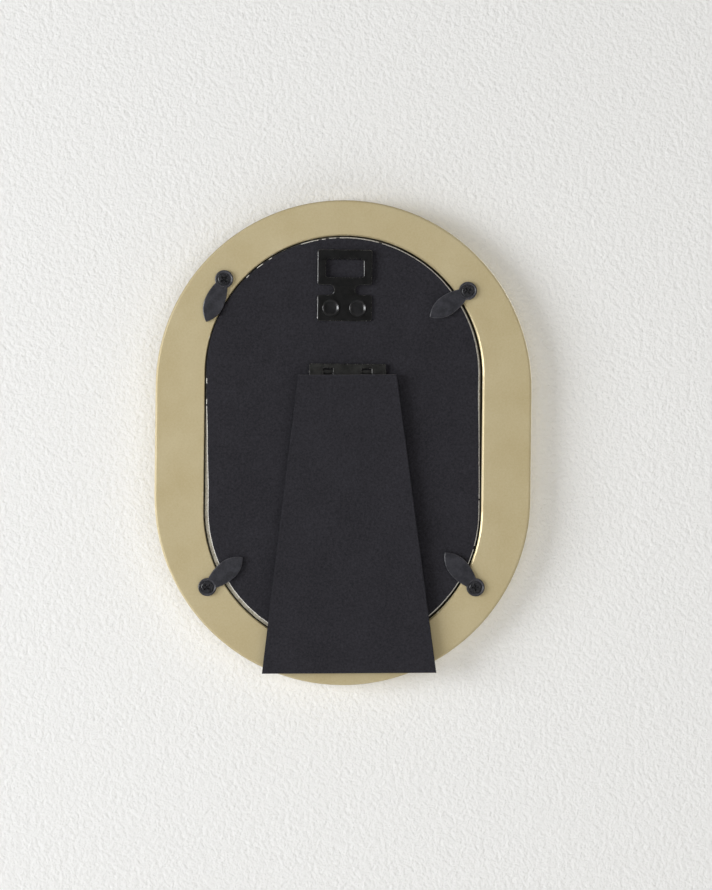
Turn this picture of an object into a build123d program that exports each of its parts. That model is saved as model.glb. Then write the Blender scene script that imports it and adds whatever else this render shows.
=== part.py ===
from build123d import *
import os
from math import copysign, cos, radians, sin

# Oval picture frame with an easel leg. The frame stands upright with its picture side towards -Y.
# The origin is where a nail bears on the wall hanger. Left, right, up and out are as seen from
# behind, with the frame's centre as the zero of left, right and up. Lengths are millimetres.

# One overrun serves every cut that passes out of its piece
overrun = 1.0

# Glass, print and backing board, which lie one on the other in the rebate
print_width = 101.6
print_height = 152.4
print_thickness = 0.3
print_play = 0.85
glass_play = 0.6
glass_thickness = 2.0
glass_arris = 0.2
board_play = 0.45
board_thickness = 2.8
board_bevel = 0.6
facing_thickness = 0.25
board_recess = 0.2

# Moulding: a wider rim at the sides than at the ends
rim_side_width = 18.35
rim_end_width = 13.2
lip_width = 4.0
lip_depth = 7.3
front_rounding = 7.0
sight_rounding = 3.0
rear_rounding = 0.9
rebate_chamfer = 0.45

# Turn buttons: an eye round the screw and a leaf with curved sides that meet in a point.
# Each angle is in degrees, counter-clockwise from the right. A screw's angle is taken at the centre
# of the nearer round end of the rebate, and its inset is a share of the rim's width at the ends.
# The leaves and the screws' crosses point as they were last left, so each corner has values of its own.
button_thickness = 1.3
button_lift = 0.1
button_reach = 17.2
button_eye_rim = 0.5
button_rounding = 0.3
leaf_width = 7.5
leaf_widest_share = 0.55
neck_share = 0.12
neck_width_share = 0.59
upper_left_screw_angle = 142.1
upper_left_inset_share = 0.39
upper_left_leaf_angle = -112.3
upper_left_cross_angle = 40.0
upper_right_screw_angle = 34.5
upper_right_inset_share = 0.30
upper_right_leaf_angle = -145.0
upper_right_cross_angle = 30.0
lower_left_screw_angle = 210.0
lower_left_inset_share = 0.45
lower_left_leaf_angle = 40.5
lower_left_cross_angle = 42.0
lower_right_screw_angle = -29.2
lower_right_inset_share = 0.41
lower_right_leaf_angle = 132.2
lower_right_cross_angle = 6.0

# Screws of the turn buttons
screw_shank_radius = 1.1
screw_head_radius = 2.3
screw_head_height = 0.6
screw_head_rounding = 0.35
screw_grip = 8.0
screw_point = 2.0
screw_play = 0.1
pilot_play = 0.04
dish_land = 0.2
dish_margin = 0.6
cross_width = 0.7
cross_margin = 0.85
cross_depth = 0.75
cross_taper_angle = 15.0

# Wall hanger: a toothed window above a waist, and a foot with two dished rivets
hanger_sheet = 1.0
hanger_lift = 1.2
hanger_inset = 4.5
hanger_window_width = 14.0
hanger_window_height = 6.6
hanger_side_bar = 3.2
hanger_top_bar = 3.7
hanger_lower_bar = 2.8
hanger_waist_width = 7.9
hanger_waist_height = 3.7
hanger_foot_height = 9.7
bend_margin = 0.5
hanger_corner = 1.0
hanger_rounding = 0.25
window_corner = 0.8
tooth_count = 7
tooth_pitch = 1.9
tooth_width = 1.3
tooth_depth = 0.7

# Dished rivets of the hanger
dished_spacing = 10.0
dished_shank_radius = 1.8
dished_head_radius = 3.25
dished_edge_height = 0.2
dished_crest_radius = 2.85
dished_crest_height = 0.6
dished_floor_radius = 2.3
dished_floor_height = 0.15
dished_tail_radius = 3.1
dished_tail_height = 0.5

# Rivets of the hinge
rivet_radius = 1.2
rivet_head_radius = 2.2
rivet_head_height = 0.45
rivet_play = 0.05

# Hinge: two knuckles on the board's leaf, loops and windows on the leg's leaf.
# The leg's leaf reaches past the pin as a heel, which meets the board at the full opening.
hinge_offset = 1.4
hinge_rise = 26.3
hinge_width = 28.5
hinge_sheet = 0.45
hinge_leaf_length = 12.5
hinge_leaf_corner = 1.5
knuckle_spacing = 14.4
knuckle_length = 2.9
knuckle_gap = 0.3
barrel_lift = 0.1
pin_radius = 0.45
pin_play = 0.05
pin_end = 0.35
pin_chamfer = 0.15
opening_angle = 27.0
heel_play = 0.12
board_rivet_spacing = 9.0
leg_rivet_spacing = 19.0
rivet_drop = 8.0

# Easel leg: a board that widens downwards, papered on both faces and riveted on a little askew.
# Its lean is in degrees, counter-clockwise about the middle of the hinge.
leg_drop = 1.0
leg_lean_angle = 0.9
leg_length = 110.8
leg_top_width = 36.5
leg_foot_width = 64.7
leg_thickness = 2.0
lining_thickness = 0.2

# Sizes that follow
rebate_width = print_width + 2 * print_play
rebate_height = print_height + 2 * print_play
board_width = rebate_width - 2 * board_play
board_height = rebate_height - 2 * board_play
outer_width = rebate_width + 2 * rim_side_width
outer_height = rebate_height + 2 * rim_end_width
stack_thickness = glass_thickness + print_thickness + board_thickness + facing_thickness
rebate_depth = stack_thickness + board_recess
moulding_depth = rebate_depth + lip_depth
board_out = -board_recess - facing_thickness
board_front = board_out - board_thickness

hanger_width = hanger_window_width + 2 * hanger_side_bar
hanger_top = print_height / 2 - hanger_inset
window_top = hanger_top - hanger_top_bar
window_middle = window_top - hanger_window_height / 2
waist_top = window_top - hanger_window_height - hanger_lower_bar
waist_bottom = waist_top - hanger_waist_height
hanger_bottom = waist_bottom - hanger_foot_height
nail_rise = window_top + tooth_depth
nail_out = -board_recess + hanger_lift + hanger_sheet / 2

screw_head_low = button_lift + dish_land
screw_head_top = screw_head_low + screw_head_height + screw_head_rounding
dish_radius = screw_head_radius + dish_margin

barrel_radius = pin_radius + pin_play + hinge_sheet
pin_height = barrel_radius + barrel_lift
leg_leaf_height = pin_height + barrel_radius - hinge_sheet
opening = radians(opening_angle)
heel_corner = (barrel_radius - hinge_sheet) * cos(opening)
heel_length = (pin_height - heel_play + heel_corner) / sin(opening)
window_half = barrel_radius + knuckle_gap
knuckle_places = (-knuckle_spacing / 2, knuckle_spacing / 2)
window_width = knuckle_length + 2 * knuckle_gap
loop_inner = knuckle_spacing / 2 - window_width / 2
loop_outer = knuckle_spacing / 2 + window_width / 2
lining_in = -board_recess + leg_leaf_height + hinge_sheet
leg_in = lining_in + lining_thickness
leg_out = leg_in + leg_thickness

# Planes: the moulding's back face, with the view from behind, and the hinge's section
rear = Plane(origin=(0, -nail_out, -nail_rise), x_dir=(-1, 0, 0), z_dir=(0, 1, 0))
facing_plane = rear.offset(-board_recess)
hinge_pin_place = rear.from_local_coords((hinge_offset, hinge_rise, pin_height - board_recess))
hinge_section = Plane(origin=hinge_pin_place, x_dir=(0, 0, 1), z_dir=(-1, 0, 0))

# Places of the fasteners, as right and up from the frame's centre
rebate_end_rise = (rebate_height - rebate_width) / 2
screws = {
    "upper_left": (upper_left_screw_angle, upper_left_inset_share),
    "upper_right": (upper_right_screw_angle, upper_right_inset_share),
    "lower_left": (lower_left_screw_angle, lower_left_inset_share),
    "lower_right": (lower_right_screw_angle, lower_right_inset_share),
}
leaf_angles = {
    "upper_left": upper_left_leaf_angle,
    "upper_right": upper_right_leaf_angle,
    "lower_left": lower_left_leaf_angle,
    "lower_right": lower_right_leaf_angle,
}
cross_angles = {
    "upper_left": upper_left_cross_angle,
    "upper_right": upper_right_cross_angle,
    "lower_left": lower_left_cross_angle,
    "lower_right": lower_right_cross_angle,
}
screw_places = {}
for corner, (screw_angle, inset_share) in screws.items():
    distance = rebate_width / 2 + rim_end_width * inset_share
    across = distance * cos(radians(screw_angle))
    along = distance * sin(radians(screw_angle))
    screw_places[corner] = (across, along + copysign(rebate_end_rise, along))
dished_rise = hanger_bottom + hanger_foot_height / 2
dished_places = [(side * dished_spacing / 2, dished_rise) for side in (-1, 1)]
rivet_rise = hinge_rise - rivet_drop
board_rivet_places = [(hinge_offset + side * board_rivet_spacing / 2, rivet_rise) for side in (-1, 1)]
leg_rivet_places = [(hinge_offset + side * leg_rivet_spacing / 2, rivet_rise) for side in (-1, 1)]


# Section plane through a fastener: radius along its first axis, out along its second
def turning_plane(place, out):
    centre = rear.from_local_coords((place[0], place[1], out))
    return Plane(origin=centre, x_dir=(-1, 0, 0), z_dir=(0, 0, -1))


# Axis that a fastener's section turns about
def turning_axis(plane):
    return Axis(plane.origin, plane.y_dir)


# Round holes along the fasteners' axes, from one level out to another
def drill(places, radius, low, high):
    with BuildSketch(rear.offset(low)) as holes:
        with Locations(*places):
            Circle(radius)
    extrude(holes.sketch, amount=high - low, mode=Mode.SUBTRACT)


# Oval sheet with straight sides and round ends, whose outer face lies at one level
def oval_sheet(width, height, thickness, out):
    with BuildSketch(rear.offset(out)) as oval:
        SlotOverall(height, width, rotation=90)
    extrude(oval.sketch, amount=-thickness)


# Outline of the easel leg, extruded outwards from one level
def leg_sheet(low, thickness):
    lean = radians(leg_lean_angle)
    upright = [
        (-leg_top_width / 2, -leg_drop),
        (leg_top_width / 2, -leg_drop),
        (leg_foot_width / 2, -leg_drop - leg_length),
        (-leg_foot_width / 2, -leg_drop - leg_length),
    ]
    leaning = [
        (hinge_offset + x * cos(lean) - y * sin(lean), hinge_rise + x * sin(lean) + y * cos(lean))
        for x, y in upright
    ]
    with BuildSketch(rear.offset(low)) as outline:
        with BuildLine():
            Polyline(*leaning, close=True)
        make_face()
    extrude(outline.sketch, amount=thickness)


# Riveted pins along the fasteners' axes: a flat tail at one level and a low domed head on a seat
def turn_rivets(places, tail, seat):
    side = 1 if seat > tail else -1
    neck = side * rivet_head_height
    grip = seat - tail
    for place in places:
        section = turning_plane(place, tail)
        with BuildSketch(section) as half:
            with BuildLine():
                Polyline(
                    (0, grip + neck),
                    (0, 0),
                    (rivet_head_radius, 0),
                    (rivet_head_radius, neck),
                    (rivet_radius, neck),
                    (rivet_radius, grip),
                    (rivet_head_radius, grip),
                )
                TangentArc((0, grip + neck), (rivet_head_radius, grip), tangent=(1, 0))
            make_face()
        revolve(half.sketch, axis=turning_axis(section))


# Moulding
with BuildPart() as moulding:
    oval_sheet(outer_width, outer_height, moulding_depth, 0)
    with BuildSketch(rear):
        SlotOverall(rebate_height, rebate_width, rotation=90)
    extrude(amount=-rebate_depth, mode=Mode.SUBTRACT)
    with BuildSketch(rear):
        SlotOverall(rebate_height - 2 * lip_width, rebate_width - 2 * lip_width, rotation=90)
    extrude(amount=-moulding_depth - overrun, mode=Mode.SUBTRACT)
    front = moulding.faces().sort_by(Axis.Y)[0]
    fillet(front.inner_wires()[0].edges(), radius=sight_rounding)
    front = moulding.faces().sort_by(Axis.Y)[0]
    fillet(front.outer_wire().edges(), radius=front_rounding)
    back = moulding.faces().sort_by(Axis.Y)[-1]
    fillet(back.outer_wire().edges(), radius=rear_rounding)
    back = moulding.faces().sort_by(Axis.Y)[-1]
    chamfer(back.inner_wires()[0].edges(), length=rebate_chamfer)
    drill(screw_places.values(), screw_shank_radius + pilot_play, -screw_grip - pilot_play, overrun)

# Glass
with BuildPart() as glass:
    oval_sheet(
        rebate_width - 2 * glass_play,
        rebate_height - 2 * glass_play,
        glass_thickness,
        board_front - print_thickness,
    )
    chamfer(glass.faces().filter_by(Axis.Y).edges(), length=glass_arris)

# Blank print
with BuildPart() as blank_print:
    oval_sheet(print_width, print_height, print_thickness, board_front)

# Backing board, with a bevelled cut edge and counterbores for the rivets' tails
with BuildPart() as backing_board:
    oval_sheet(board_width, board_height, board_thickness, board_out)
    chamfer(backing_board.faces().sort_by(Axis.Y)[-1].edges(), length=board_bevel)
    drill(dished_places, dished_shank_radius + rivet_play, board_front, board_out)
    drill(dished_places, dished_tail_radius + rivet_play, board_front, board_front + dished_tail_height)
    drill(board_rivet_places, rivet_radius + rivet_play, board_front, board_out)
    drill(board_rivet_places, rivet_head_radius + rivet_play, board_front, board_front + rivet_head_height)

# Black paper facing of the backing board
with BuildPart() as backing_facing:
    oval_sheet(board_width - 2 * board_bevel, board_height - 2 * board_bevel, facing_thickness, -board_recess)
    drill(dished_places, dished_shank_radius + rivet_play, board_out, 0)
    drill(board_rivet_places, rivet_radius + rivet_play, board_out, 0)

# Wall hanger: a bent strip, punched to its outline
with BuildPart() as hanger_plate:
    hanger_section = Plane(
        origin=rear.from_local_coords((0, 0, -board_recess)), x_dir=(0, 0, 1), z_dir=(-1, 0, 0)
    )
    with BuildSketch(hanger_section):
        with BuildLine():
            Polyline(
                (hanger_bottom, 0),
                (waist_bottom + bend_margin, 0),
                (waist_top - bend_margin, hanger_lift),
                (hanger_top, hanger_lift),
                (hanger_top, hanger_lift + hanger_sheet),
                (waist_top - bend_margin, hanger_lift + hanger_sheet),
                (waist_bottom + bend_margin, hanger_sheet),
                (hanger_bottom, hanger_sheet),
                close=True,
            )
        make_face()
    extrude(amount=hanger_width / 2, both=True)
    with BuildSketch(facing_plane):
        with Locations((0, (hanger_top + hanger_bottom) / 2)):
            RectangleRounded(hanger_width, hanger_top - hanger_bottom, hanger_corner)
        notch_length = hanger_width - hanger_waist_width
        with Locations(*[(side * hanger_width / 2, (waist_top + waist_bottom) / 2) for side in (-1, 1)]):
            SlotOverall(notch_length, hanger_waist_height, mode=Mode.SUBTRACT)
        with Locations((0, window_middle)):
            RectangleRounded(hanger_window_width, hanger_window_height, window_corner, mode=Mode.SUBTRACT)
        with Locations((0, window_top)):
            with GridLocations(tooth_pitch, 0, tooth_count, 1):
                Triangle(
                    a=tooth_width,
                    b=(tooth_depth**2 + (tooth_width / 2) ** 2) ** 0.5,
                    c=(tooth_depth**2 + (tooth_width / 2) ** 2) ** 0.5,
                    align=(Align.CENTER, Align.MIN),
                    mode=Mode.SUBTRACT,
                )
    extrude(amount=hanger_lift + hanger_sheet + overrun, mode=Mode.INTERSECT)
    raised_rim = hanger_plate.faces().sort_by(Axis.Y)[-1].outer_wire().edges()
    raised_rim = raised_rim.filter_by_position(Axis.Z, waist_top - nail_rise, hanger_top, (False, True))
    fillet(raised_rim, radius=hanger_rounding)
    drill(dished_places, dished_shank_radius + rivet_play, -board_recess, hanger_sheet)

# Dished rivets of the hanger: a head with a raised crest and a sunk floor, and a flat tail inside the board
with BuildPart() as hanger_rivets:
    for place in dished_places:
        section = turning_plane(place, board_front)
        seat = hanger_sheet - board_recess - board_front
        with BuildSketch(section):
            with BuildLine():
                Polyline(
                    (dished_floor_radius, seat + dished_floor_height),
                    (0, seat + dished_floor_height),
                    (0, 0),
                    (dished_tail_radius, 0),
                    (dished_tail_radius, dished_tail_height),
                    (dished_shank_radius, dished_tail_height),
                    (dished_shank_radius, seat),
                    (dished_head_radius, seat),
                    (dished_head_radius, seat + dished_edge_height),
                )
                TangentArc(
                    (dished_head_radius, seat + dished_edge_height),
                    (dished_crest_radius, seat + dished_crest_height),
                    tangent=(0, 1),
                )
                Line(
                    (dished_crest_radius, seat + dished_crest_height),
                    (dished_floor_radius, seat + dished_floor_height),
                )
            make_face()
        revolve(axis=turning_axis(section))

# Hinge leaf on the backing board
with BuildPart() as hinge_board_leaf:
    plate_top = hinge_rise - window_half
    plate_bottom = hinge_rise - hinge_leaf_length
    with BuildSketch(facing_plane):
        with Locations((hinge_offset, (plate_top + plate_bottom) / 2)):
            plate = Rectangle(hinge_width, plate_top - plate_bottom)
        fillet(plate.vertices().group_by(Axis.Y)[0], radius=hinge_leaf_corner)
        with Locations(*[(hinge_offset + place, (hinge_rise + plate_top) / 2) for place in knuckle_places]):
            Rectangle(knuckle_length, hinge_rise - plate_top)
    extrude(amount=hinge_sheet)
    for place in knuckle_places:
        with BuildSketch(hinge_section.offset(place - knuckle_length / 2)):
            Circle(barrel_radius)
        extrude(amount=knuckle_length)
    with BuildSketch(hinge_section):
        Circle(pin_radius + pin_play)
    extrude(amount=hinge_width / 2, both=True, mode=Mode.SUBTRACT)
    drill(board_rivet_places, rivet_radius + rivet_play, -board_recess, hinge_sheet)

# Rivets of that leaf, with their tails sunk in the board's inner face
with BuildPart() as hinge_board_rivets:
    turn_rivets(board_rivet_places, board_front, hinge_sheet - board_recess)

# Hinge pin
with BuildPart() as hinge_pin:
    with BuildSketch(hinge_section):
        Circle(pin_radius)
    extrude(amount=hinge_width / 2 + pin_end, both=True)
    chamfer(hinge_pin.faces().filter_by(Axis.X).edges(), length=pin_chamfer)

# Hinge leaf on the easel leg
with BuildPart() as hinge_leg_leaf:
    leaf_top = hinge_rise + heel_length
    leaf_bottom = hinge_rise - hinge_leaf_length
    with BuildSketch(facing_plane.offset(leg_leaf_height)):
        with Locations((hinge_offset, (leaf_top + leaf_bottom) / 2)):
            plate = Rectangle(hinge_width, leaf_top - leaf_bottom)
        fillet(plate.vertices().group_by(Axis.Y)[0], radius=hinge_leaf_corner)
        with Locations(*[(hinge_offset + place, hinge_rise) for place in knuckle_places]):
            Rectangle(window_width, 2 * window_half, mode=Mode.SUBTRACT)
    extrude(amount=hinge_sheet)
    loop_spans = ((-hinge_width / 2, -loop_outer), (-loop_inner, loop_inner), (loop_outer, hinge_width / 2))
    for start, end in loop_spans:
        with BuildSketch(hinge_section.offset(start)):
            Circle(barrel_radius)
        extrude(amount=end - start)
    with BuildSketch(hinge_section):
        Circle(pin_radius + pin_play)
    extrude(amount=hinge_width / 2, both=True, mode=Mode.SUBTRACT)
    drill(leg_rivet_places, rivet_radius + rivet_play, leg_leaf_height - board_recess, lining_in)

# Rivets of that leaf, with their tails sunk in the leg board's outer face
with BuildPart() as hinge_leg_rivets:
    turn_rivets(leg_rivet_places, leg_out, leg_leaf_height - board_recess)

# Easel leg board
with BuildPart() as leg_board:
    leg_sheet(leg_in, leg_thickness)
    drill(leg_rivet_places, rivet_radius + rivet_play, leg_in, leg_out)
    drill(leg_rivet_places, rivet_head_radius + rivet_play, leg_out - rivet_head_height, leg_out)

# Paper lining on the leg's inner face
with BuildPart() as leg_lining:
    leg_sheet(lining_in, lining_thickness)
    drill(leg_rivet_places, rivet_radius + rivet_play, lining_in, leg_in)

# Black paper facing on the leg's outer face
with BuildPart() as leg_facing:
    leg_sheet(leg_out, facing_thickness)

pieces = {
    "moulding": moulding,
    "glass": glass,
    "blank_print": blank_print,
    "backing_board": backing_board,
    "backing_facing": backing_facing,
    "hanger_plate": hanger_plate,
    "hanger_rivets": hanger_rivets,
    "hinge_board_leaf": hinge_board_leaf,
    "hinge_board_rivets": hinge_board_rivets,
    "hinge_pin": hinge_pin,
    "hinge_leg_leaf": hinge_leg_leaf,
    "hinge_leg_rivets": hinge_leg_rivets,
    "leg_board": leg_board,
    "leg_lining": leg_lining,
    "leg_facing": leg_facing,
}

# Turn buttons, one at each corner: an eye dished for the screw's head, and a pointed leaf
for corner, leaf_angle in leaf_angles.items():
    place = screw_places[corner]
    button_plane = Plane(
        origin=rear.from_local_coords((place[0], place[1], button_lift)),
        x_dir=(-cos(radians(leaf_angle)), 0, sin(radians(leaf_angle))),
        z_dir=(0, 1, 0),
    )
    neck = (button_reach * neck_share, leaf_width / 2 * neck_width_share)
    widest = (button_reach * leaf_widest_share, leaf_width / 2)
    tip = (button_reach, 0)
    with BuildPart() as turn_button:
        with BuildSketch(button_plane):
            with BuildLine():
                TangentArc(widest, neck, tangent=(-1, 0))
                TangentArc(widest, tip, tangent=(1, 0))
                Polyline(tip, (neck[0], 0), neck)
            make_face()
            mirror(about=Plane.XZ)
            Circle(dish_radius + button_eye_rim)
        extrude(amount=button_thickness)
        fillet(turn_button.faces().sort_by(Axis.Y)[-1].edges(), radius=button_rounding)
        section = turning_plane(place, button_lift)
        with BuildSketch(section):
            with BuildLine():
                Polyline(
                    (0, 0),
                    (screw_shank_radius + screw_play, 0),
                    (screw_shank_radius + screw_play, dish_land),
                    (screw_head_radius + screw_play, dish_land + screw_head_height),
                    (dish_radius, button_thickness),
                    (0, button_thickness),
                    close=True,
                )
            make_face()
        revolve(axis=turning_axis(section), mode=Mode.SUBTRACT)
    pieces[f"turn_button_{corner}"] = turn_button

# Cross-head screws of the turn buttons
with BuildPart() as button_screws:
    for place in screw_places.values():
        section = turning_plane(place, 0)
        with BuildSketch(section):
            with BuildLine():
                Polyline(
                    (screw_head_radius - screw_head_rounding, screw_head_top),
                    (0, screw_head_top),
                    (0, -screw_grip),
                    (screw_shank_radius, screw_point - screw_grip),
                    (screw_shank_radius, screw_head_low),
                    (screw_head_radius, screw_head_low + screw_head_height),
                )
                TangentArc(
                    (screw_head_radius, screw_head_low + screw_head_height),
                    (screw_head_radius - screw_head_rounding, screw_head_top),
                    tangent=(0, 1),
                )
            make_face()
        revolve(axis=turning_axis(section))
    cross_span = 2 * (screw_head_radius - cross_margin)
    with BuildSketch(rear.offset(screw_head_top)):
        for corner, cross_angle in cross_angles.items():
            with Locations(screw_places[corner]):
                Rectangle(cross_span, cross_width, rotation=cross_angle)
                Rectangle(cross_width, cross_span, rotation=cross_angle)
    extrude(amount=-cross_depth, taper=cross_taper_angle, mode=Mode.SUBTRACT)
pieces["button_screws"] = button_screws

os.makedirs("parts", exist_ok=True)
for name, piece in pieces.items():
    piece.part.label = name
    export_step(piece.part, f"parts/{name}.step")
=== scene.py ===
import math

import bmesh
import bpy
from mathutils import Matrix, Vector, noise


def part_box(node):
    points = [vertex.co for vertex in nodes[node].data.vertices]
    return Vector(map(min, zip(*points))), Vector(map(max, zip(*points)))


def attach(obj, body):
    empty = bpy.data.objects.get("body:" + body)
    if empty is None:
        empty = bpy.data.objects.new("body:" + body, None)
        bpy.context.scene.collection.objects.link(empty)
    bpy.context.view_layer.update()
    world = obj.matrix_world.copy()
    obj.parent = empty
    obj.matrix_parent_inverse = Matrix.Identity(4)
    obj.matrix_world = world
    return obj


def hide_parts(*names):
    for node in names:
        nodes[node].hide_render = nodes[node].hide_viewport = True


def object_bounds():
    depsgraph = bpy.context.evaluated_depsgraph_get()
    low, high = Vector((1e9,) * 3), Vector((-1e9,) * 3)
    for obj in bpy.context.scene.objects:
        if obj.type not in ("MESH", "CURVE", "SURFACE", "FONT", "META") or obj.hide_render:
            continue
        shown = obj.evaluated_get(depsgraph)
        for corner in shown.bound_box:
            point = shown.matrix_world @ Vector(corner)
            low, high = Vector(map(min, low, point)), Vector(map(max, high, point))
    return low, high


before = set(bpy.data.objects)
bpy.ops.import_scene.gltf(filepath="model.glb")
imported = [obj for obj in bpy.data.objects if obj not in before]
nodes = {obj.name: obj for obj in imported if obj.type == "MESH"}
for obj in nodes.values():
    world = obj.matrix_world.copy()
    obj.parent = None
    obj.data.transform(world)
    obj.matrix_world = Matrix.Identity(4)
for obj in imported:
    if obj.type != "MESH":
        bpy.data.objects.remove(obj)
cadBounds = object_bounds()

scene = bpy.context.scene
mm = 0.001
mergeGap = 0.001 * mm
boardPlay = 0.45 * mm

# the oval's measures, taken from the solids
rimLow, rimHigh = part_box("moulding")
boardLow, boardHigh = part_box("backing_board")
facingLow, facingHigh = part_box("backing_facing")
centre = (rimLow + rimHigh) / 2
endHalf = ((boardHigh.z - boardLow.z) - (boardHigh.x - boardLow.x)) / 2
boardRadius = (boardHigh.x - boardLow.x) / 2
facingRadius = (facingHigh.x - facingLow.x) / 2
rebateRadius = boardRadius + boardPlay
rearLevel = rimHigh.y
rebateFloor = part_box("glass")[0].y
print("frame loaded:", len(nodes), "nodes")


def spineOf(point):
    # the nearest point of the line between the oval's two end centres
    return Vector((centre.x, point.y, centre.z + max(-endHalf, min(endHalf, point.z - centre.z))))


def bearingOf(point):
    # degrees round the oval's middle from the right, seen from behind
    return math.degrees(math.atan2(point.z - centre.z, centre.x - point.x)) % 360


def tone(red, green, blue):
    # a screen colour, 0 to 255, as linear light
    parts = []
    for part in (red, green, blue):
        share = part / 255
        parts.append(share / 12.92 if share <= 0.04045 else ((share + 0.055) / 1.055) ** 2.4)
    return (*parts, 1.0)


class Wire:
    # a shader socket that can stand in Python expressions
    def __init__(self, shading, socket):
        self.shading = shading
        self.socket = socket

    def maths(self, operation, first, second=0.0):
        return self.shading.node("ShaderNodeMath", {"operation": operation}, {0: first, 1: second})

    def __add__(self, other):
        return self.maths("ADD", self, other)

    def __radd__(self, other):
        return self.maths("ADD", other, self)

    def __sub__(self, other):
        return self.maths("SUBTRACT", self, other)

    def __rsub__(self, other):
        return self.maths("SUBTRACT", other, self)

    def __mul__(self, other):
        return self.maths("MULTIPLY", self, other)

    def __rmul__(self, other):
        return self.maths("MULTIPLY", other, self)

    def __pow__(self, other):
        return self.maths("POWER", self, other)

    def __abs__(self):
        return self.maths("ABSOLUTE", self)

    def atLeast(self, other):
        return self.maths("MAXIMUM", self, other)

    def atMost(self, other):
        return self.maths("MINIMUM", self, other)


class Shading:
    # the node tree of one finish
    def __init__(self, owner):
        owner.use_nodes = True
        self.owner = owner
        self.tree = owner.node_tree
        self.tree.nodes.clear()

    def node(self, kind, settings=None, sockets=None, output=0):
        made = self.tree.nodes.new(kind)
        for key, value in (settings or {}).items():
            setattr(made, key, value)
        for key, value in (sockets or {}).items():
            if isinstance(value, Wire):
                self.tree.links.new(value.socket, made.inputs[key])
            else:
                made.inputs[key].default_value = value
        return Wire(self, made.outputs[output] if made.outputs else None)

    def place(self, scale=(1, 1, 1)):
        coords = self.node("ShaderNodeTexCoord", output="Object")
        if scale == (1, 1, 1):
            return coords
        return self.node("ShaderNodeMapping", {}, {"Vector": coords, "Scale": scale})

    def noise(self, size, detail=3.0, roughness=0.55, scale=(1, 1, 1)):
        return self.node("ShaderNodeTexNoise", {}, {
            "Vector": self.place(scale), "Scale": 1 / size, "Detail": detail, "Roughness": roughness,
        }, "Fac")

    def step(self, value, low, high):
        return self.node("ShaderNodeMapRange", {"interpolation_type": "SMOOTHSTEP"}, {
            "Value": value, "From Min": low, "From Max": high,
        })

    def blend(self, share, first, second):
        return self.node("ShaderNodeMix", {"data_type": "RGBA"}, {0: share, 6: first, 7: second}, 2)

    def bump(self, height, depth):
        return self.node("ShaderNodeBump", {}, {"Height": height, "Distance": depth, "Strength": 1.0})

    def outside(self, radius, half):
        # how far a point lies outside an oval with straight sides, seen along Y
        coords = self.place()
        across = self.node("ShaderNodeSeparateXYZ", {}, {"Vector": coords}, "X")
        up = self.node("ShaderNodeSeparateXYZ", {}, {"Vector": coords}, "Z")
        rise = (abs(up - centre.z) - half).atLeast(0.0)
        return ((across - centre.x) ** 2 + rise ** 2) ** 0.5 - radius

    def path(self, ray):
        return self.node("ShaderNodeLightPath", output=ray)

    def surface(self, **sockets):
        named = {key.replace("_", " "): value for key, value in sockets.items()}
        self.close(self.node("ShaderNodeBsdfPrincipled", {}, named))
        return self.owner

    def close(self, shader):
        kind = "World" if self.owner.id_type == "WORLD" else "Material"
        self.node("ShaderNodeOutput" + kind, {}, {"Surface": shader})
        return self.owner


def finish(name):
    return Shading(bpy.data.materials.new(name))


# satin gold paint, sprayed: fine flake, soft clouds, a light orange peel, chips along the rebate, and bare
# resin down inside it, where the spray doesn't reach, darkened further as painted shade in that recess
goldPaint = {
    "deep": tone(195, 177, 132), "pale": tone(217, 204, 168), "chip": tone(232, 226, 208),
    "resinShade": tone(48, 39, 24), "flake": 0.7 * mm, "cloud": 16 * mm, "peel": 1.3 * mm,
    "cloudShare": 0.9, "flakeShare": 0.7, "darker": 0.3, "flakeRoughness": 0.14,
    "peelDepth": 0.01 * mm, "flakeBump": 0.35, "chipBump": 2.0,
    "chipMiddle": 0.25 * mm, "chipBand": 0.7 * mm, "chipSize": 1.6 * mm, "chipShare": 0.62, "chipSoft": 0.05,
    "sprayDepth": (0.75 * mm, 0.45 * mm), "floorSoft": 0.05 * mm, "sprayPast": (0.05 * mm, 0.15 * mm),
}


def makeGold(name, metallic, roughness):
    s = finish(name)
    cloud = s.noise(goldPaint["cloud"], 4)
    flake = s.noise(goldPaint["flake"], 2, 0.7)
    peel = s.noise(goldPaint["peel"], 2)
    share = cloud * goldPaint["cloudShare"] + flake * goldPaint["flakeShare"] - goldPaint["darker"]
    paint = s.blend(share.atLeast(0.0).atMost(1.0), goldPaint["deep"], goldPaint["pale"])
    past = s.outside(rebateRadius, endHalf)
    band = 1 - s.step(abs(past - goldPaint["chipMiddle"]), 0.0, goldPaint["chipBand"])
    fleck = s.noise(goldPaint["chipSize"], 4, 0.7)
    chip = s.step(fleck * band, goldPaint["chipShare"] - goldPaint["chipSoft"], goldPaint["chipShare"])
    level = s.node("ShaderNodeSeparateXYZ", {}, {"Vector": s.place()}, "Y")
    deepest, shallowest = goldPaint["sprayDepth"]
    # painted shade: the sunk wall inside the rebate turns dark resin brown, partly bare resin, partly shade
    sunkShade = 1 - s.step(level, rearLevel - deepest, rearLevel - shallowest)
    sunkShade = sunkShade * s.step(level, rebateFloor - goldPaint["floorSoft"], rebateFloor)
    bare = sunkShade * (1 - s.step(past, *goldPaint["sprayPast"]))
    height = peel + flake * goldPaint["flakeBump"] - chip * goldPaint["chipBump"]
    return s.surface(
        Base_Color=s.blend(bare, s.blend(chip, paint, goldPaint["chip"]), goldPaint["resinShade"]),
        Metallic=(1 - chip.atLeast(bare)) * metallic,
        Roughness=flake * goldPaint["flakeRoughness"] + roughness,
        Normal=s.bump(height, goldPaint["peelDepth"]),
    )
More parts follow.
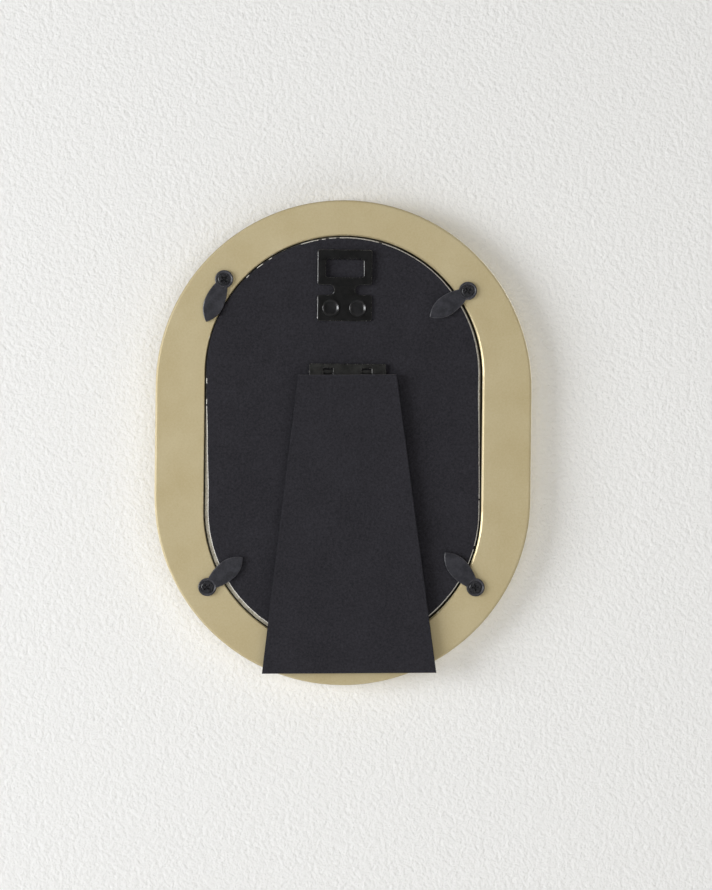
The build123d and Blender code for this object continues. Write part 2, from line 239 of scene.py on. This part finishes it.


# black paper: soft clouds, short fibres and a fine tooth; its lighter tone for rounded edges is partly wear,
# partly painted highlight
blackPaper = {
    "dark": tone(14, 13, 17), "light": tone(58, 57, 64), "wearAndHighlight": tone(92, 90, 94),
    "cloud": 14 * mm, "fibre": 0.9 * mm, "speck": 0.495 * mm, "tooth": 0.35 * mm,
    "cloudShare": 0.25, "fibreShare": 1.1, "speckShare": 0.7, "darker": 0.53,
    "roughness": 0.66, "fibreRoughness": 0.2, "gloss": 0.25, "depth": 0.03 * mm, "fibreBump": 0.6,
}


def makePaper(name, light):
    s = finish(name)
    cloud = s.noise(blackPaper["cloud"], 3)
    fibre = s.noise(blackPaper["fibre"], 4, 0.7)
    speck = s.noise(blackPaper["speck"], 3, 0.6)
    tooth = s.noise(blackPaper["tooth"], 3, 0.6)
    share = cloud * blackPaper["cloudShare"] + fibre * blackPaper["fibreShare"]
    share = (share + speck * blackPaper["speckShare"] - blackPaper["darker"]).atLeast(0.0).atMost(1.0)
    return s.surface(
        Base_Color=s.blend(share, blackPaper["dark"], light),
        Roughness=fibre * blackPaper["fibreRoughness"] + blackPaper["roughness"],
        Specular_IOR_Level=blackPaper["gloss"],
        Normal=s.bump(tooth + fibre * blackPaper["fibreBump"], blackPaper["depth"]),
    )


# the paper's pale core, seen where it is cut
paperCore = {
    "dark": tone(160, 157, 148), "light": tone(230, 228, 222), "fibre": 0.6 * mm, "pale": (0.32, 0.62),
    "roughness": 0.75, "fibreRoughness": 0.2, "depth": 0.05 * mm,
}


def makeCore():
    s = finish("paperCore")
    fibre = s.noise(paperCore["fibre"], 4, 0.7)
    return s.surface(
        Base_Color=s.blend(s.step(fibre, *paperCore["pale"]), paperCore["dark"], paperCore["light"]),
        Roughness=fibre * paperCore["fibreRoughness"] + paperCore["roughness"],
        Normal=s.bump(fibre, paperCore["depth"]),
    )


# raw greyboard, pressed in layers, with painted shade darkening its edge on one side
greyBoard = {
    "dark": tone(122, 115, 99), "light": tone(188, 183, 168), "sideShade": tone(44, 40, 33),
    "fibre": 0.45 * mm, "layers": (0.4, 2.5, 0.4), "fleck": 0.9 * mm, "fibreShare": 0.7, "fleckShare": 0.3,
    "pale": (0.34, 0.66), "roughness": 0.8, "fibreRoughness": 0.15, "depth": 0.06 * mm,
    "shadeEdgeBand": (-0.45 * mm, -0.3 * mm), "shadeSideBand": (5 * mm, 25 * mm),
}


def makeGreyBoard():
    s = finish("rawGreyBoard")
    fibre = s.noise(greyBoard["fibre"], 5, 0.7, greyBoard["layers"])
    fleck = s.noise(greyBoard["fleck"], 3, 0.6)
    share = s.step(fibre * greyBoard["fibreShare"] + fleck * greyBoard["fleckShare"], *greyBoard["pale"])
    across = s.node("ShaderNodeSeparateXYZ", {}, {"Vector": s.place()}, "X")
    # painted shade: the board's outer edge turns dark on the side away from the key lamp, where the gap is
    # shaded
    sideShade = s.step(s.outside(boardRadius, endHalf), *greyBoard["shadeEdgeBand"])
    sideShade = sideShade * s.step(0 - across, *greyBoard["shadeSideBand"])
    return s.surface(
        Base_Color=s.blend(sideShade, s.blend(share, greyBoard["dark"], greyBoard["light"]), greyBoard["sideShade"]),
        Roughness=fibre * greyBoard["fibreRoughness"] + greyBoard["roughness"],
        Normal=s.bump(fibre, greyBoard["depth"]),
    )


# board dyed black through, at the leg's edges
dyedBoard = {
    "dark": tone(28, 27, 30), "light": tone(48, 46, 49), "fibre": 0.4 * mm, "layers": (0.5, 3, 0.5),
    "pale": (0.3, 0.75), "roughness": 0.75, "fibreRoughness": 0.15, "gloss": 0.25, "depth": 0.05 * mm,
}


def makeDyedBoard():
    s = finish("dyedBoard")
    fibre = s.noise(dyedBoard["fibre"], 4, 0.7, dyedBoard["layers"])
    return s.surface(
        Base_Color=s.blend(s.step(fibre, *dyedBoard["pale"]), dyedBoard["dark"], dyedBoard["light"]),
        Roughness=fibre * dyedBoard["fibreRoughness"] + dyedBoard["roughness"],
        Specular_IOR_Level=dyedBoard["gloss"],
        Normal=s.bump(fibre, dyedBoard["depth"]),
    )


# coats on steel: lacquers and a screw's black, each with a light peel. Where one is worn, bare steel shows;
# the rubbed lacquer and charcoal, lighter and with that bare steel, go on rounded edges as wear and painted
# highlight
coats = {
    "blackLacquer": {"dark": tone(17, 17, 17), "light": tone(30, 30, 31), "roughness": 0.24, "gloss": 1.0},
    "wornHighlightLacquer": {"dark": tone(24, 24, 24), "light": tone(40, 40, 40), "roughness": 0.2, "gloss": 1.0,
                      "wearAndHighlight": 0.55},
    "rivetLacquer": {"dark": tone(22, 22, 23), "light": tone(38, 38, 40), "roughness": 0.22, "gloss": 1.0},
    "hingeLacquer": {"dark": tone(28, 28, 27), "light": tone(49, 49, 48), "roughness": 0.28, "gloss": 1.0},
    "charcoalCoat": {"dark": tone(38, 38, 44), "light": tone(59, 59, 66), "roughness": 0.42, "gloss": 0.5},
    "wornHighlightCharcoal": {"dark": tone(52, 52, 58), "light": tone(80, 80, 86), "roughness": 0.26, "gloss": 1.0,
                       "wearAndHighlight": 0.6},
    "screwBlack": {"dark": tone(34, 34, 37), "light": tone(54, 54, 58), "roughness": 0.24, "gloss": 1.0},
}
coatPeel = {
    "cloud": 3 * mm, "size": 0.7 * mm, "cloudShare": 0.6, "peelShare": 0.4, "pale": (0.35, 0.65),
    "depth": 0.012 * mm, "peelRoughness": 0.2, "topRoughness": 0.16,
    "chip": 0.5 * mm, "chipSoft": 0.08, "steel": tone(150, 148, 145), "steelMetallic": 0.9,
}


def makeCoat(name):
    coat = coats[name]
    s = finish(name)
    cloud = s.noise(coatPeel["cloud"], 3)
    peel = s.noise(coatPeel["size"], 3)
    share = s.step(cloud * coatPeel["cloudShare"] + peel * coatPeel["peelShare"], *coatPeel["pale"])
    colour = s.blend(share, coat["dark"], coat["light"])
    metallic = 0.0
    # painted highlight with wear: light bare steel in flecks over the rounded edges
    if "wearAndHighlight" in coat:
        bare = s.step(s.noise(coatPeel["chip"], 4, 0.7), coat["wearAndHighlight"], coat["wearAndHighlight"] + coatPeel["chipSoft"])
        colour = s.blend(bare, colour, coatPeel["steel"])
        metallic = bare * coatPeel["steelMetallic"]
    return s.surface(
        Base_Color=colour,
        Metallic=metallic,
        Roughness=peel * coatPeel["peelRoughness"] + coat["roughness"],
        Coat_Weight=coat["gloss"],
        Coat_Roughness=coatPeel["topRoughness"],
        Normal=s.bump(peel, coatPeel["depth"]),
    )


# clear glass that lets lamp light straight through
clearGlass = {"colour": (1, 1, 1, 1), "shade": (0.97, 0.98, 0.975, 1), "roughness": 0.02, "bending": 1.5}


def makeGlass():
    s = finish("clearGlass")
    clear = s.node("ShaderNodeBsdfTransparent", {}, {"Color": clearGlass["shade"]})
    pane = s.node("ShaderNodeBsdfPrincipled", {}, {
        "Base Color": clearGlass["colour"], "Roughness": clearGlass["roughness"],
        "IOR": clearGlass["bending"], "Transmission Weight": 1.0,
    })
    return s.close(s.node("ShaderNodeMixShader", {}, {0: s.path("Is Shadow Ray"), 1: pane, 2: clear}))


blankPaper = {
    "dark": tone(236, 235, 230), "light": tone(246, 245, 241), "fibre": 0.6 * mm,
    "roughness": 0.75, "fibreRoughness": 0.1, "depth": 0.01 * mm,
}


def makeBlankPaper():
    s = finish("blankPaper")
    fibre = s.noise(blankPaper["fibre"], 4, 0.6)
    return s.surface(
        Base_Color=s.blend(fibre, blankPaper["dark"], blankPaper["light"]),
        Roughness=fibre * blankPaper["fibreRoughness"] + blankPaper["roughness"],
        Normal=s.bump(fibre, blankPaper["depth"]),
    )


gold = makeGold("goldPaint", metallic=0.2, roughness=0.38)
goldEdge = makeGold("goldEdge", metallic=0.55, roughness=0.28)
paper = makePaper("blackPaper", blackPaper["light"])
# the leg facing's rounded edges: lighter paper, partly rubbed wear, partly painted highlight
wornHighlightPaper = makePaper("wornHighlightPaper", blackPaper["wearAndHighlight"])
core = makeCore()
coat = {name: makeCoat(name) for name in coats}

# nodes that are shown as they are. The pieces below stand for the others
dressing = {
    "glass": makeGlass(), "blank_print": makeBlankPaper(), "backing_board": makeGreyBoard(),
    "hinge_board_leaf": coat["hingeLacquer"], "hinge_board_rivets": coat["rivetLacquer"],
    "hinge_pin": coat["hingeLacquer"], "hinge_leg_rivets": coat["rivetLacquer"],
    "leg_board": makeDyedBoard(), "leg_lining": paper, "button_screws": coat["screwBlack"],
}
for name, material in dressing.items():
    nodes[name].material_slots[0].material = material
print("finishes on", len(dressing), "nodes")

squareOn = 0.99999  # how nearly a face has to look straight back or forwards to stay flat


def piece(shape, name, finishes, sharp=40):
    # a bmesh as an object at the origin, smooth but for its sharp edges and faces square to the back
    mesh = bpy.data.meshes.new(name)
    shape.to_mesh(mesh)
    shape.free()
    for material in finishes:
        mesh.materials.append(material)
    if "custom_normal" in mesh.attributes:
        mesh.attributes.remove(mesh.attributes["custom_normal"])
    mesh.set_sharp_from_angle(angle=math.radians(sharp))
    mesh.polygons.foreach_set("use_smooth", [abs(face.normal.y) < squareOn for face in mesh.polygons])
    made = bpy.data.objects.new(name, mesh)
    scene.collection.objects.link(made)
    return made


def setOn(made, body, slotName, *stoodFor):
    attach(made, body)
    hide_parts(*stoodFor)


# copies of solids with some edges rounded over and their turned faces rubbed, which on paper and steel means
# a lighter finish, partly wear and partly painted highlight, and on the rim a glossier gold: "flat" is the
# angle in degrees under which faces are joined first, "reach" how far in from the outermost level such an
# edge may lie,
# "near" how far it may lie outside the rebate, "eased" how much wider or narrower the rebate's chamfer is
# rubbed on one side than on the other
rounded = {
    "rim": {"node": "moulding", "body": "frame", "slot": "gold_paint", "flat": 0.1,
            "finishes": [gold, goldEdge], "rounding": 0.12 * mm, "reach": 0.5 * mm, "near": 0.9 * mm,
            "chamfer": 0.45 * mm, "eased": 0.3 * mm},
    "legLeaf": {"node": "hinge_leg_leaf", "body": "leg", "slot": "black_steel", "flat": 1,
                "finishes": [coat["hingeLacquer"], coat["wornHighlightLacquer"]],
                "rounding": 0.25 * mm, "reach": 0.01 * mm},
    "legFacing": {"node": "leg_facing", "body": "leg", "slot": "black_paper", "flat": 1,
                  "finishes": [paper, wornHighlightPaper], "rounding": 0.2 * mm, "reach": 0.01 * mm},
}
# turn buttons: their rounded edges take the lighter rubbed charcoal, partly wear, partly painted highlight
for corner in ("upper_left", "upper_right", "lower_left", "lower_right"):
    level, side = corner.split("_")
    rounded["button" + level.title() + side.title()] = {
        "node": "turn_button_" + corner, "body": "turn_button_" + corner, "slot": "charcoal_steel", "flat": 1,
        "finishes": [coat["charcoalCoat"], coat["wornHighlightCharcoal"]], "rounding": 0.1 * mm, "reach": 0.01 * mm,
    }
# edge settings: which faces count as turned, and so take the rubbed finish with its painted highlight, and
# how edges are picked and rounded
rubbed = {"sharp": math.radians(25), "leastOut": 0.21, "mostOut": 0.978, "area": 5 * mm * mm, "steps": 4,
          "levelSlack": 0.01 * mm, "edgeSlack": 0.05 * mm}


def solidCopy(node, flat):
    shape = bmesh.new()
    shape.from_mesh(nodes[node].data)
    bmesh.ops.remove_doubles(shape, verts=shape.verts, dist=mergeGap)
    bmesh.ops.dissolve_limit(shape, angle_limit=math.radians(flat), verts=shape.verts, edges=shape.edges)
    return shape


def isSharp(edge):
    return edge.is_manifold and edge.calc_face_angle() > rubbed["sharp"]


def roundOver(shape, edges, rounding):
    bmesh.ops.bevel(shape, geom=edges, offset=rounding, offset_type="OFFSET",
                    segments=rubbed["steps"], profile=0.5, affect="EDGES", clamp_overlap=False, material=-1)


def isNear(point, spec):
    return "near" not in spec or (point - spineOf(point)).length < rebateRadius + spec["near"]


# faces turned part way out get the second finish, which carries the painted highlight on paper and steel
def markWornLitEdges(shape, spec):
    for face in shape.faces:
        turned = rubbed["leastOut"] < face.normal.y < rubbed["mostOut"] and face.calc_area() < rubbed["area"]
        face.material_index = 1 if turned and isNear(face.calc_center_median(), spec) else 0


def isChosen(edge, spec, outer):
    lowest = outer - spec["reach"]
    return isSharp(edge) and all(vert.co.y > lowest and isNear(vert.co, spec) for vert in edge.verts)


def easeChamfer(shape, spec):
    for vert in shape.verts:
        out = vert.co - spineOf(vert.co)
        past = out.length - rebateRadius - spec["chamfer"]
        if vert.co.y > rearLevel - rubbed["levelSlack"] and abs(past) < rubbed["edgeSlack"]:
            vert.co += out.normalized() * spec["eased"] * math.cos(math.radians(bearingOf(vert.co)))
    shape.normal_update()


def roundedCopy(name, spec):
    shape = solidCopy(spec["node"], spec["flat"])
    if "eased" in spec:
        easeChamfer(shape, spec)
    outer = max(vert.co.y for vert in shape.verts)
    chosen = [edge for edge in shape.edges if isChosen(edge, spec, outer)]
    roundOver(shape, chosen, spec["rounding"])
    markWornLitEdges(shape, spec)
    setOn(piece(shape, name, spec["finishes"]), spec["body"], spec["slot"], spec["node"])
    print(name, "rounded over,", len(chosen), "edges")


for name, spec in rounded.items():
    roundedCopy(name, spec)

# wall hanger: its solid's underside gives the punched outline, which is thickened again and rounded, the
# small teeth less than the rest
hanger = {
    "flat": 1, "sheet": 1.0 * mm, "cornersFrom": 9 * mm, "corner": 0.9 * mm, "rounding": 0.38 * mm,
    "toothRounding": 0.12 * mm, "teeth": (6.7 * mm, -0.75 * mm, 0.05 * mm),
    "underside": -0.5, "upright": 0.9, "upper": 0.8, "top": 0.99,
}


def isTooth(edge):
    across, low, high = hanger["teeth"]
    middle = (edge.verts[0].co + edge.verts[1].co) / 2
    return abs(middle.x) < across and low < middle.z < high


def isCorner(edge):
    first, second = (vert.co for vert in edge.verts)
    outside = min(abs(first.x), abs(second.x)) > hanger["cornersFrom"]
    return isSharp(edge) and outside and abs(first.y - second.y) > hanger["upright"] * hanger["sheet"]


def facesOut(edge, least):
    return isSharp(edge) and max(face.normal.y for face in edge.link_faces) > least


def makeHanger():
    shape = solidCopy("hanger_plate", hanger["flat"])
    upper = [face for face in shape.faces if face.normal.y > hanger["underside"]]
    bmesh.ops.delete(shape, geom=upper, context="FACES")
    made = bmesh.ops.extrude_face_region(shape, geom=shape.faces[:])["geom"]
    lifted = [item for item in made if isinstance(item, bmesh.types.BMVert)]
    bmesh.ops.translate(shape, verts=lifted, vec=(0, hanger["sheet"], 0))
    bmesh.ops.recalc_face_normals(shape, faces=shape.faces)
    corners = [edge for edge in shape.edges if isCorner(edge)]
    roundOver(shape, corners, hanger["corner"])
    shape.normal_update()
    rim = [edge for edge in shape.edges if facesOut(edge, hanger["upper"]) and not isTooth(edge)]
    roundOver(shape, rim, hanger["rounding"])
    shape.normal_update()
    teeth = [edge for edge in shape.edges if facesOut(edge, hanger["top"]) and isTooth(edge)]
    roundOver(shape, teeth, hanger["toothRounding"])
    markWornLitEdges(shape, hanger)
    finishes = [coat["blackLacquer"], coat["wornHighlightLacquer"]]
    setOn(piece(shape, "wallHanger", finishes), "frame", "black_steel", "hanger_plate")
    print("wallHanger made,", len(corners), "corners,", len(rim), "edges")


makeHanger()

# dished rivets of the hanger, in millimetres: radius and height of the turned head above its seat, then the
# shank and the tail
dishedRivets = {
    "head": ((0, 0.12), (1.7, 0.13), (2.05, 0.18), (2.35, 0.28), (2.6, 0.42), (2.76, 0.53), (2.88, 0.58),
             (3.0, 0.55), (3.12, 0.45), (3.21, 0.3), (3.25, 0.12), (3.25, 0.0)),
    "headHeight": 0.6, "shank": 1.8, "tail": 3.1, "tailHeight": 0.5, "spacing": 10.0, "steps": 64,
}


def makeRivets():
    low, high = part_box("hanger_rivets")
    seat = high.y - dishedRivets["headHeight"] * mm
    deep = (low.y - seat) / mm
    shank, tail, tailTop = dishedRivets["shank"], dishedRivets["tail"], deep + dishedRivets["tailHeight"]
    profile = [*dishedRivets["head"], (shank, 0.0), (shank, tailTop), (tail, tailTop), (tail, deep),
               (0, deep)]
    between = Vector(((low.x + high.x) / 2, seat, (low.z + high.z) / 2))
    shape = bmesh.new()
    for side in (-1, 1):
        middle = between + Vector((side * dishedRivets["spacing"] / 2 * mm, 0, 0))
        chain = [shape.verts.new(middle + Vector((radius * mm, rise * mm, 0))) for radius, rise in profile]
        links = [shape.edges.new(pair) for pair in zip(chain, chain[1:])]
        bmesh.ops.spin(shape, geom=chain + links, cent=middle, axis=(0, 1, 0), angle=math.tau,
                       steps=dishedRivets["steps"], use_merge=True)
    bmesh.ops.remove_doubles(shape, verts=shape.verts, dist=mergeGap)
    bmesh.ops.recalc_face_normals(shape, faces=shape.faces)
    setOn(piece(shape, "dishedRivets", [coat["rivetLacquer"]]), "frame", "black_steel", "hanger_rivets")
    print("dishedRivets turned")


makeRivets()

# black facing of the backing board, cut by hand: insets in millimetres from the board's edge by bearing, seen
# from behind, and its cut edge pale where it lies far enough in
handCut = {
    "bearings": (0, 21, 42, 70, 90, 105, 140, 160, 180, 201, 225, 245, 270, 300, 320, 340, 360),
    "insets": (0.7, 1.15, 0.95, 0.65, 0.5, 0.38, 0.22, 0.4, 0.85, 1.4, 1.45, 1.4, 1.1, 0.75, 0.55, 0.5, 0.7),
    "arcSteps": 240, "sideSteps": 80, "ragged": 0.07 * mm, "raggedSize": 1.6 * mm, "slant": 0.3 * mm,
    "margin": 1.6 * mm, "paleFrom": 0.42 * mm, "chipping": 0.35 * mm, "chipSize": 2.2 * mm, "sharp": 30,
}


def handCutInset(bearing):
    bearings, insets = handCut["bearings"], handCut["insets"]
    for low, high, first, last in zip(bearings, bearings[1:], insets, insets[1:]):
        if bearing <= high:
            share = (bearing - low) / (high - low)
            share = share * share * (3 - 2 * share)
            return (first + (last - first) * share) * mm
    return insets[-1] * mm


def ovalDisc(radius, level):
    # a flat oval with straight sides at one level out, finely divided along its edge
    shape = bmesh.new()
    bmesh.ops.create_circle(shape, cap_ends=True, segments=handCut["arcSteps"], radius=radius)
    bmesh.ops.rotate(shape, verts=shape.verts, cent=(0, 0, 0), matrix=Matrix.Rotation(math.pi / 2, 3, "X"))
    step = math.pi / handCut["arcSteps"]
    bmesh.ops.rotate(shape, verts=shape.verts, cent=(0, 0, 0), matrix=Matrix.Rotation(step, 3, "Y"))
    for vert in shape.verts:
        vert.co.z += math.copysign(endHalf, vert.co.z)
    long = [edge for edge in shape.edges if edge.calc_length() > endHalf]
    bmesh.ops.subdivide_edges(shape, edges=long, cuts=handCut["sideSteps"])
    bmesh.ops.translate(shape, verts=shape.verts, vec=(centre.x, level, centre.z))
    return shape


def makeFacing():
    thick = facingHigh.y - facingLow.y
    shape = ovalDisc(boardRadius, facingHigh.y)
    bevelRun = boardRadius - facingRadius
    for vert in shape.verts:
        # inwards from the board's edge, down over its bevel where the paper reaches that far
        inward = (spineOf(vert.co) - vert.co).normalized()
        ragged = noise.noise(vert.co / handCut["raggedSize"]) * handCut["ragged"]
        inset = handCutInset(bearingOf(vert.co)) + ragged
        vert.co += inward * inset
        vert.co.y -= max(0.0, bevelRun - inset)
    top = shape.faces[:]
    bmesh.ops.inset_region(shape, faces=top, thickness=handCut["margin"], use_even_offset=True)
    inner = {vert for face in top for vert in face.verts}
    for vert in inner:
        vert.co.y = facingHigh.y
    rim = [edge for edge in shape.edges if edge.is_boundary]
    down = bmesh.ops.extrude_edge_only(shape, edges=rim)
    low = [item for item in down["geom"] if isinstance(item, bmesh.types.BMVert)]
    for vert in low:
        vert.co += (vert.co - spineOf(vert.co)).normalized() * handCut["slant"]
        vert.co.y -= thick
    for item in down["geom"]:
        if isinstance(item, bmesh.types.BMFace):
            middle = item.calc_center_median()
            broken = noise.noise(middle / handCut["chipSize"]) * handCut["chipping"]
            item.material_index = 1 if handCutInset(bearingOf(middle)) + broken > handCut["paleFrom"] else 0
    base = [edge for edge in shape.edges if edge.is_boundary]
    bmesh.ops.holes_fill(shape, edges=base, sides=len(base))
    bmesh.ops.recalc_face_normals(shape, faces=shape.faces)
    facing = piece(shape, "boardFacing", [paper, core], handCut["sharp"])
    setOn(facing, "frame", "black_paper", "backing_facing")
    print("boardFacing cut")


makeFacing()

# camera, behind the frame and level with its middle
view = {"distance": 1.2, "sharpLevel": 0.9 * mm, "scale": 0.37224 * mm, "height": 890, "sensor": 36,
        "right": 13.0, "down": 2.2, "roll": -0.6}
camera = bpy.data.objects.new("camera", bpy.data.cameras.new("camera"))
scene.collection.objects.link(camera)
camera.data.sensor_width = view["sensor"]
camera.data.lens = view["sensor"] * view["distance"] / (view["scale"] * view["height"])
camera.location = (
    centre.x - view["right"] * view["scale"],
    rearLevel - view["sharpLevel"] + view["distance"],
    centre.z - view["down"] * view["scale"],
)
camera.rotation_euler = (math.radians(90), math.radians(view["roll"]), math.radians(180))
scene.camera = camera
print("camera lens", round(camera.data.lens, 1), "mm")

# soft lamps, placed from the frame's middle: a key on the left as seen from behind, a broad fill, and two for
# the face
lamps = {
    "keyLamp": {"at": (1.35, 1.0, 0.05), "size": (1.1, 0.7), "power": 17.3, "gloss": True,
                "tint": (0.97, 0.985, 1.0)},
    "fillLamp": {"at": (-0.3, 1.65, 0.0), "size": (1.6, 0.55), "power": 8.2, "gloss": False,
                 "tint": (1.0, 0.975, 0.915)},
    "faceLamp": {"at": (-1.0, -1.2, 0.5), "size": (1.2, 1.2), "power": 19, "gloss": True,
                 "tint": (1.0, 1.0, 1.0)},
    "faceFill": {"at": (1.2, -1.1, -0.3), "size": (0.9, 0.9), "power": 11, "gloss": True,
                 "tint": (1.0, 1.0, 1.0)},
}
for name, lamp in lamps.items():
    light = bpy.data.lights.new(name, "AREA")
    light.shape = "RECTANGLE"
    light.size, light.size_y = lamp["size"]
    light.energy = lamp["power"]
    light.color = lamp["tint"]
    stand = bpy.data.objects.new(name, light)
    scene.collection.objects.link(stand)
    stand.location = Vector(lamp["at"]) + centre
    stand.rotation_euler = (centre - stand.location).to_track_quat("-Z", "Y").to_euler()
    stand.visible_camera = False
    stand.visible_glossy = lamp["gloss"]
print("lamps", len(lamps))

# world: pale to the eye and through glass, dimmer as light and in gloss
room = {"pale": tone(236, 236, 233), "bounce": (1.0, 0.985, 0.945, 1.0), "light": 0.22}


def makeRoom():
    scene.world = bpy.data.worlds.new("room")
    s = Shading(scene.world)
    seen = s.path("Is Camera Ray").atLeast(s.path("Is Transmission Ray"))
    dim = s.node("ShaderNodeBackground", {}, {"Color": room["bounce"], "Strength": room["light"]})
    pale = s.node("ShaderNodeBackground", {}, {"Color": room["pale"], "Strength": 1.0})
    s.close(s.node("ShaderNodeMixShader", {}, {0: seen, 1: dim, 2: pale}))


makeRoom()

# stage: pale walls that each show from one side alone and fade away from the frame, one that the face lies
# against and one to hang on, a pale floor, and a dark screen that only gloss sees
stage = {
    "floorSize": 3.0, "floorDrop": 0.75, "wallSize": 0.6, "wallGap": 0.3 * mm, "hangGap": 1.0 * mm,
    "fadeFrom": 0.34, "fadeOver": 0.14, "wall": tone(247, 247, 247), "roughness": 0.9, "gloss": 0.1,
    "grain": 1.8 * mm, "grainDepth": 0.8 * mm,
    "screenAway": 2.2, "screenSize": 2.6, "screen": tone(60, 60, 60),
}


def stageFinish(name, colour, ray=None, fades=False):
    s = finish(name)
    grain = s.noise(stage["grain"], 5, 0.6)
    solid = s.node("ShaderNodeBsdfPrincipled", {}, {
        "Base Color": colour, "Roughness": stage["roughness"], "Specular IOR Level": stage["gloss"],
        "Normal": s.bump(grain, stage["grainDepth"]),
    })
    if ray is None:
        return s.close(solid)
    shown = s.path(ray) * (1 - s.node("ShaderNodeNewGeometry", output="Backfacing"))
    if fades:
        shown = shown * (1 - s.step(s.outside(stage["fadeFrom"], 0.0), 0.0, stage["fadeOver"]))
    clear = s.node("ShaderNodeBsdfTransparent")
    return s.close(s.node("ShaderNodeMixShader", {}, {0: shown, 1: clear, 2: solid}))


def stageSheet(name, half, matrix, material, glossy):
    shape = bmesh.new()
    bmesh.ops.create_grid(shape, x_segments=1, y_segments=1, size=half)
    bmesh.ops.transform(shape, matrix=matrix, verts=shape.verts)
    sheet = piece(shape, name, [material])
    sheet.visible_glossy = glossy


faceBack = Matrix.Rotation(-math.pi / 2, 4, "X")
faceFront = Matrix.Rotation(math.pi / 2, 4, "X")
plaster = stageFinish("wallPlaster", stage["wall"], "Is Camera Ray", fades=True)
wallAt = Matrix.Translation((centre.x, rimLow.y - stage["wallGap"], centre.z))
hangAt = Matrix.Translation((centre.x, cadBounds[1][1] + stage["hangGap"], centre.z))
screenAt = Matrix.Translation((centre.x, stage["screenAway"], centre.z))
floorAt = Matrix.Translation((centre.x, centre.y, centre.z - stage["floorDrop"]))
stageSheet("wall", stage["wallSize"], wallAt @ faceBack, plaster, False)
stageSheet("hangingWall", stage["wallSize"], hangAt @ faceFront, plaster, False)
stageSheet("screen", stage["screenSize"], screenAt @ faceFront,
           stageFinish("darkScreen", stage["screen"], "Is Glossy Ray"), True)
stageSheet("floor", stage["floorSize"], floorAt, stageFinish("floorPlaster", stage["wall"]), False)
print("stage set")

scene.view_settings.view_transform = "Standard"
